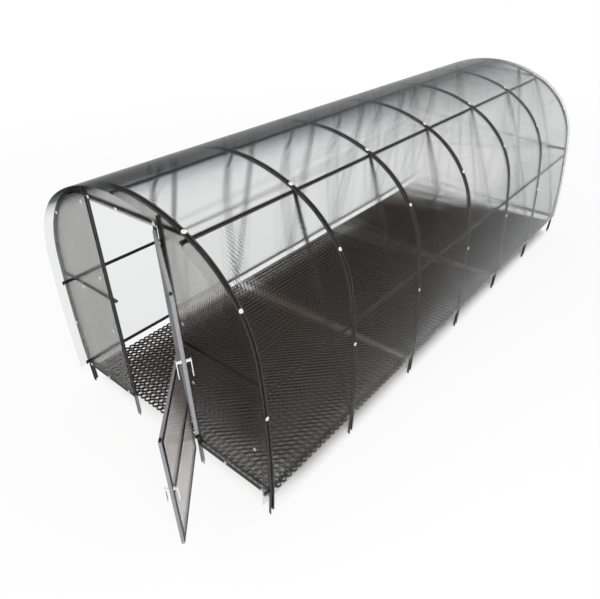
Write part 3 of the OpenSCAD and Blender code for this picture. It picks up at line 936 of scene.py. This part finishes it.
# Height over the base rails from which the rays to the upper rails start
EYE_H = 1.2
SPLICE_HEIGHTS = (0.06, 0.19)
bolt_places = []
for name in ["ridge_rail"] + rail_names:
    rail = middle(name)
    for y in arch_y:
        start = Vector((0, y, min(rail.z, base_z + EYE_H)))
        toward = Vector((rail.x, y, rail.z)) - start
        place, normal = touch([name], start, toward.normalized())
        bolt_places.append(upright(place, normal))
for y in arch_y:
    for side, stakes in ((-1, "stakes_left"), (1, "stakes_right")):
        for height in SPLICE_HEIGHTS:
            place, normal = touch([stakes], Vector((0, y, base_z + height)), Vector((side, 0, 0)))
            bolt_places.append(upright(place, normal))
copies(screw_model(10 * MM, 6 * MM), bolt_places, "frame_bolts", zinc, "greenhouse")

# %% [markdown]
# ## Caps on the rails
# A plastic cap closes each end of every rail. The side rails lean with the arches, so their ends aren't
# square to the axes, and a box round them says nothing of their turn. So the points of a rail's end are
# turned degree by degree, and the turn in which they fill the smallest rectangle is the rail's own.

# %% Rail caps
CAP_T = 3 * MM
CAP_OVER = 1 * MM


def end_outline(node, y):
    """Middle, turn, width and depth of the smallest rectangle round a rail's end at y."""
    points = [v.co for v in nodes[node].data.vertices if abs(v.co.y - y) < 0.1 * MM]
    best = None
    for degrees in range(90):
        turn = Matrix.Rotation(math.radians(degrees), 3, "Y")
        flat = [turn @ p for p in points]
        (x0, x1), (z0, z1) = [(min(p[i] for p in flat), max(p[i] for p in flat)) for i in (0, 2)]
        if best is None or (x1 - x0) * (z1 - z0) < best[0]:
            centre = turn.inverted() @ Vector(((x0 + x1) / 2, y, (z0 + z1) / 2))
            best = ((x1 - x0) * (z1 - z0), centre, turn.inverted(), x1 - x0, z1 - z0)
    return best[1:]


rail_caps = []
for name in rail_names + ["ridge_rail"]:
    low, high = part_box(name)
    for y, quarter in ((low.y, 90), (high.y, -90)):
        centre, turn, width, depth = end_outline(name, y)
        cap = cap_model(width + CAP_OVER, depth + CAP_OVER, CAP_T)
        outwards = Matrix.Rotation(math.radians(quarter), 4, "X")
        cap.data.transform(Matrix.Translation(centre) @ turn.to_4x4() @ outwards)
        rail_caps.append(cap)
join(rail_caps, "rail_caps", black_plastic, "greenhouse")

# %% [markdown]
# ## Leaf trims
# The edges of a leaf's sheet are clamped to its tubes by flat black plastic trims, a closed frame with one
# bar across the middle. Four strips would overlap at the corners. So a plane of the leaf's size is inset
# by a tube's width and its middle taken out, which leaves the frame. A second plane is the middle bar.
# Solidify makes them little more than a millimetre thick, a bisect ends them where the sheet ends, short
# of the hinges, and Bevel softens their edges. They are built round the origin, then stood up against the
# open leaf.

# %% A leaf's trim
LEAF_BAR = 36 * MM
TRIM_EDGE = 1 * MM
# The softened edge as a share of the thickness
TRIM_SOFT = 0.3


def standing_plane(width, height):
    """A rectangle on the XZ plane round the origin."""
    bpy.ops.mesh.primitive_plane_add(size=1.0, rotation=(math.pi / 2, 0, 0))
    plane = bpy.context.active_object
    plane.scale = (width, height, 1)
    bake_place(plane)
    return plane


def leaf_trim(width, height, hinge_gap):
    """Trim on the XZ plane round the origin, its back on the plane, the leaf's hinge at +X."""
    outer = standing_plane(width - 2 * TRIM_EDGE, height - 2 * TRIM_EDGE)
    edit(outer)
    pick_faces(outer, lambda c, n: True)
    bpy.ops.mesh.inset(thickness=LEAF_BAR - 2 * TRIM_EDGE)
    bpy.ops.mesh.delete(type="FACE")
    bpy.ops.object.mode_set(mode="OBJECT")
    across = standing_plane(width - 2 * LEAF_BAR + 4 * TRIM_EDGE, LEAF_BAR - 2 * TRIM_EDGE)
    bpy.ops.object.select_all(action="DESELECT")
    across.select_set(True)
    outer.select_set(True)
    bpy.context.view_layer.objects.active = outer
    bpy.ops.object.join()
    finish_with(outer, "SOLIDIFY", thickness=TRIM_T, offset=1)
    edit(outer)
    bpy.ops.mesh.select_all(action="SELECT")
    bpy.ops.mesh.bisect(plane_co=(width / 2 - hinge_gap, 0, 0), plane_no=(1, 0, 0), use_fill=True,
                        clear_outer=True)
    leave_edit()
    finish_with(outer, "BEVEL", width=TRIM_T * TRIM_SOFT, segments=1)
    return outer


print("leaf trims are", round((LEAF_BAR - 2 * TRIM_EDGE) / MM), "mm wide")


# %% [markdown]
# ## Handles
# Each leaf has a white handle on either face: a flat grip that hangs from a neck, held by a small foot.
# Three boxes would leave faces inside each other, so one bar grows into the rest. A bisect marks off its
# top, whose inner face is inset and extruded to the leaf as the neck, widened into the foot, and extruded
# once more. Bevel rounds it all as a mould would.

# %% A handle
GRIP_L, GRIP_W, GRIP_T = 115 * MM, 24 * MM, 5 * MM
GRIP_OUT = 32 * MM
NECK_H = 14 * MM
NECK_INSET = 3 * MM
FOOT_T = 3 * MM
# How much wider than the neck the foot is, across and upwards
FOOT_SPREAD = (1.2, 1.0, 2.2)
HANDLE_EDGE = 1.2 * MM


def handle_model():
    """A handle that stands on the XZ plane and reaches out along +Y, its foot near the top."""
    bpy.ops.mesh.primitive_cube_add(size=1.0, location=(0, GRIP_OUT - GRIP_T / 2, 0),
                                    scale=(GRIP_W, GRIP_T, GRIP_L))
    handle = bpy.context.active_object
    bake_place(handle)
    neck_low = GRIP_L / 2 - NECK_H
    neck_middle = (0, FOOT_T, GRIP_L / 2 - NECK_H / 2)
    edit(handle)
    bpy.ops.mesh.select_all(action="SELECT")
    bpy.ops.mesh.bisect(plane_co=(0, 0, neck_low), plane_no=(0, 0, 1))
    pick_faces(handle, lambda c, n: n.y < -0.9 and c.z > neck_low)
    bpy.ops.mesh.inset(thickness=NECK_INSET)
    bpy.ops.mesh.extrude_region_move(TRANSFORM_OT_translate={"value": (0, GRIP_T + FOOT_T - GRIP_OUT, 0)})
    bpy.ops.mesh.extrude_region_move(TRANSFORM_OT_translate={"value": (0, 0, 0)})
    bpy.ops.transform.resize(value=FOOT_SPREAD, center_override=neck_middle)
    bpy.ops.mesh.extrude_region_move(TRANSFORM_OT_translate={"value": (0, -FOOT_T, 0)})
    leave_edit()
    finish_with(handle, "BEVEL", width=HANDLE_EDGE, segments=2)
    return handle


print("grips are", round(GRIP_L / MM), "mm long and stand", round(GRIP_OUT / MM), "mm out")


# %% [markdown]
# ## The two leaves
# A leaf's frame and sheet say where its trim, its handles and the cap on its stile's open top go: their
# spans along the leaf, through it and up, measured from the hinge. The leaf's own axes, with -X along it
# from the hinge, turn each piece.

# %% Places on a leaf
def spans(node, origin, directions):
    """Lowest and highest reach of a node's points along each direction."""
    points = [v.co - origin for v in nodes[node].data.vertices]
    return [(min(p.dot(d) for p in points), max(p.dot(d) for p in points)) for d in directions]


def on_leaf(hinge, axes, distance, depth, height):
    """Place at a distance along the leaf, a depth through it and a height, turned as the leaf is."""
    along, through, rise = axes
    turn = Matrix((-along, through, rise)).transposed().to_4x4()
    return Matrix.Translation(hinge + along * distance + through * depth + rise * height) @ turn


for leaf in LEAVES:
    print(leaf, "hinge at", [round(v, 3) for v in joints[f"{leaf}_hinge"]["pos_m"]])

# %% Pieces of the two leaves
LEAF_CAP_T = 1 * MM
TUBE_FROM_HINGE = 4 * MM
CREASE_ANGLE = math.radians(40)
for leaf in LEAVES:
    hinge = Vector(joints[f"{leaf}_hinge"]["pos_m"])
    axes = (*leaf_directions(leaf), Vector((0, 0, 1)))
    (_, far), (_, back), (low_z, high_z) = spans(f"{leaf}_frame", hinge, axes)
    (sheet_near, _), (sheet_front, sheet_back), _ = spans(f"{leaf}_sheet", hinge, axes)
    middle_z = (low_z + high_z) / 2

    trim = leaf_trim(far - TUBE_FROM_HINGE, high_z - low_z, sheet_near - TUBE_FROM_HINGE + TRIM_EDGE)
    trim_place = on_leaf(hinge, axes, (far + TUBE_FROM_HINGE) / 2, sheet_front, middle_z)
    copies(trim, [trim_place], f"{leaf}_trim", black_plastic, leaf)

    stile = far - LEAF_BAR / 2
    cap = cap_model(LEAF_BAR, back - sheet_back, LEAF_CAP_T)
    cap_place = on_leaf(hinge, axes, stile, (sheet_back + back) / 2, high_z)
    copies(cap, [cap_place], f"{leaf}_cap", black_plastic, leaf)

    inner = on_leaf(hinge, axes, stile, back, middle_z)
    outer = on_leaf(hinge, axes, stile, sheet_front, middle_z) @ Matrix.Rotation(math.pi, 4, "Z")
    grips = copies(handle_model(), [inner, outer], f"{leaf}_grips", white_plastic, leaf)
    bpy.ops.object.shade_smooth_by_angle(angle=CREASE_ANGLE)
    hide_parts(f"{leaf}_handles")
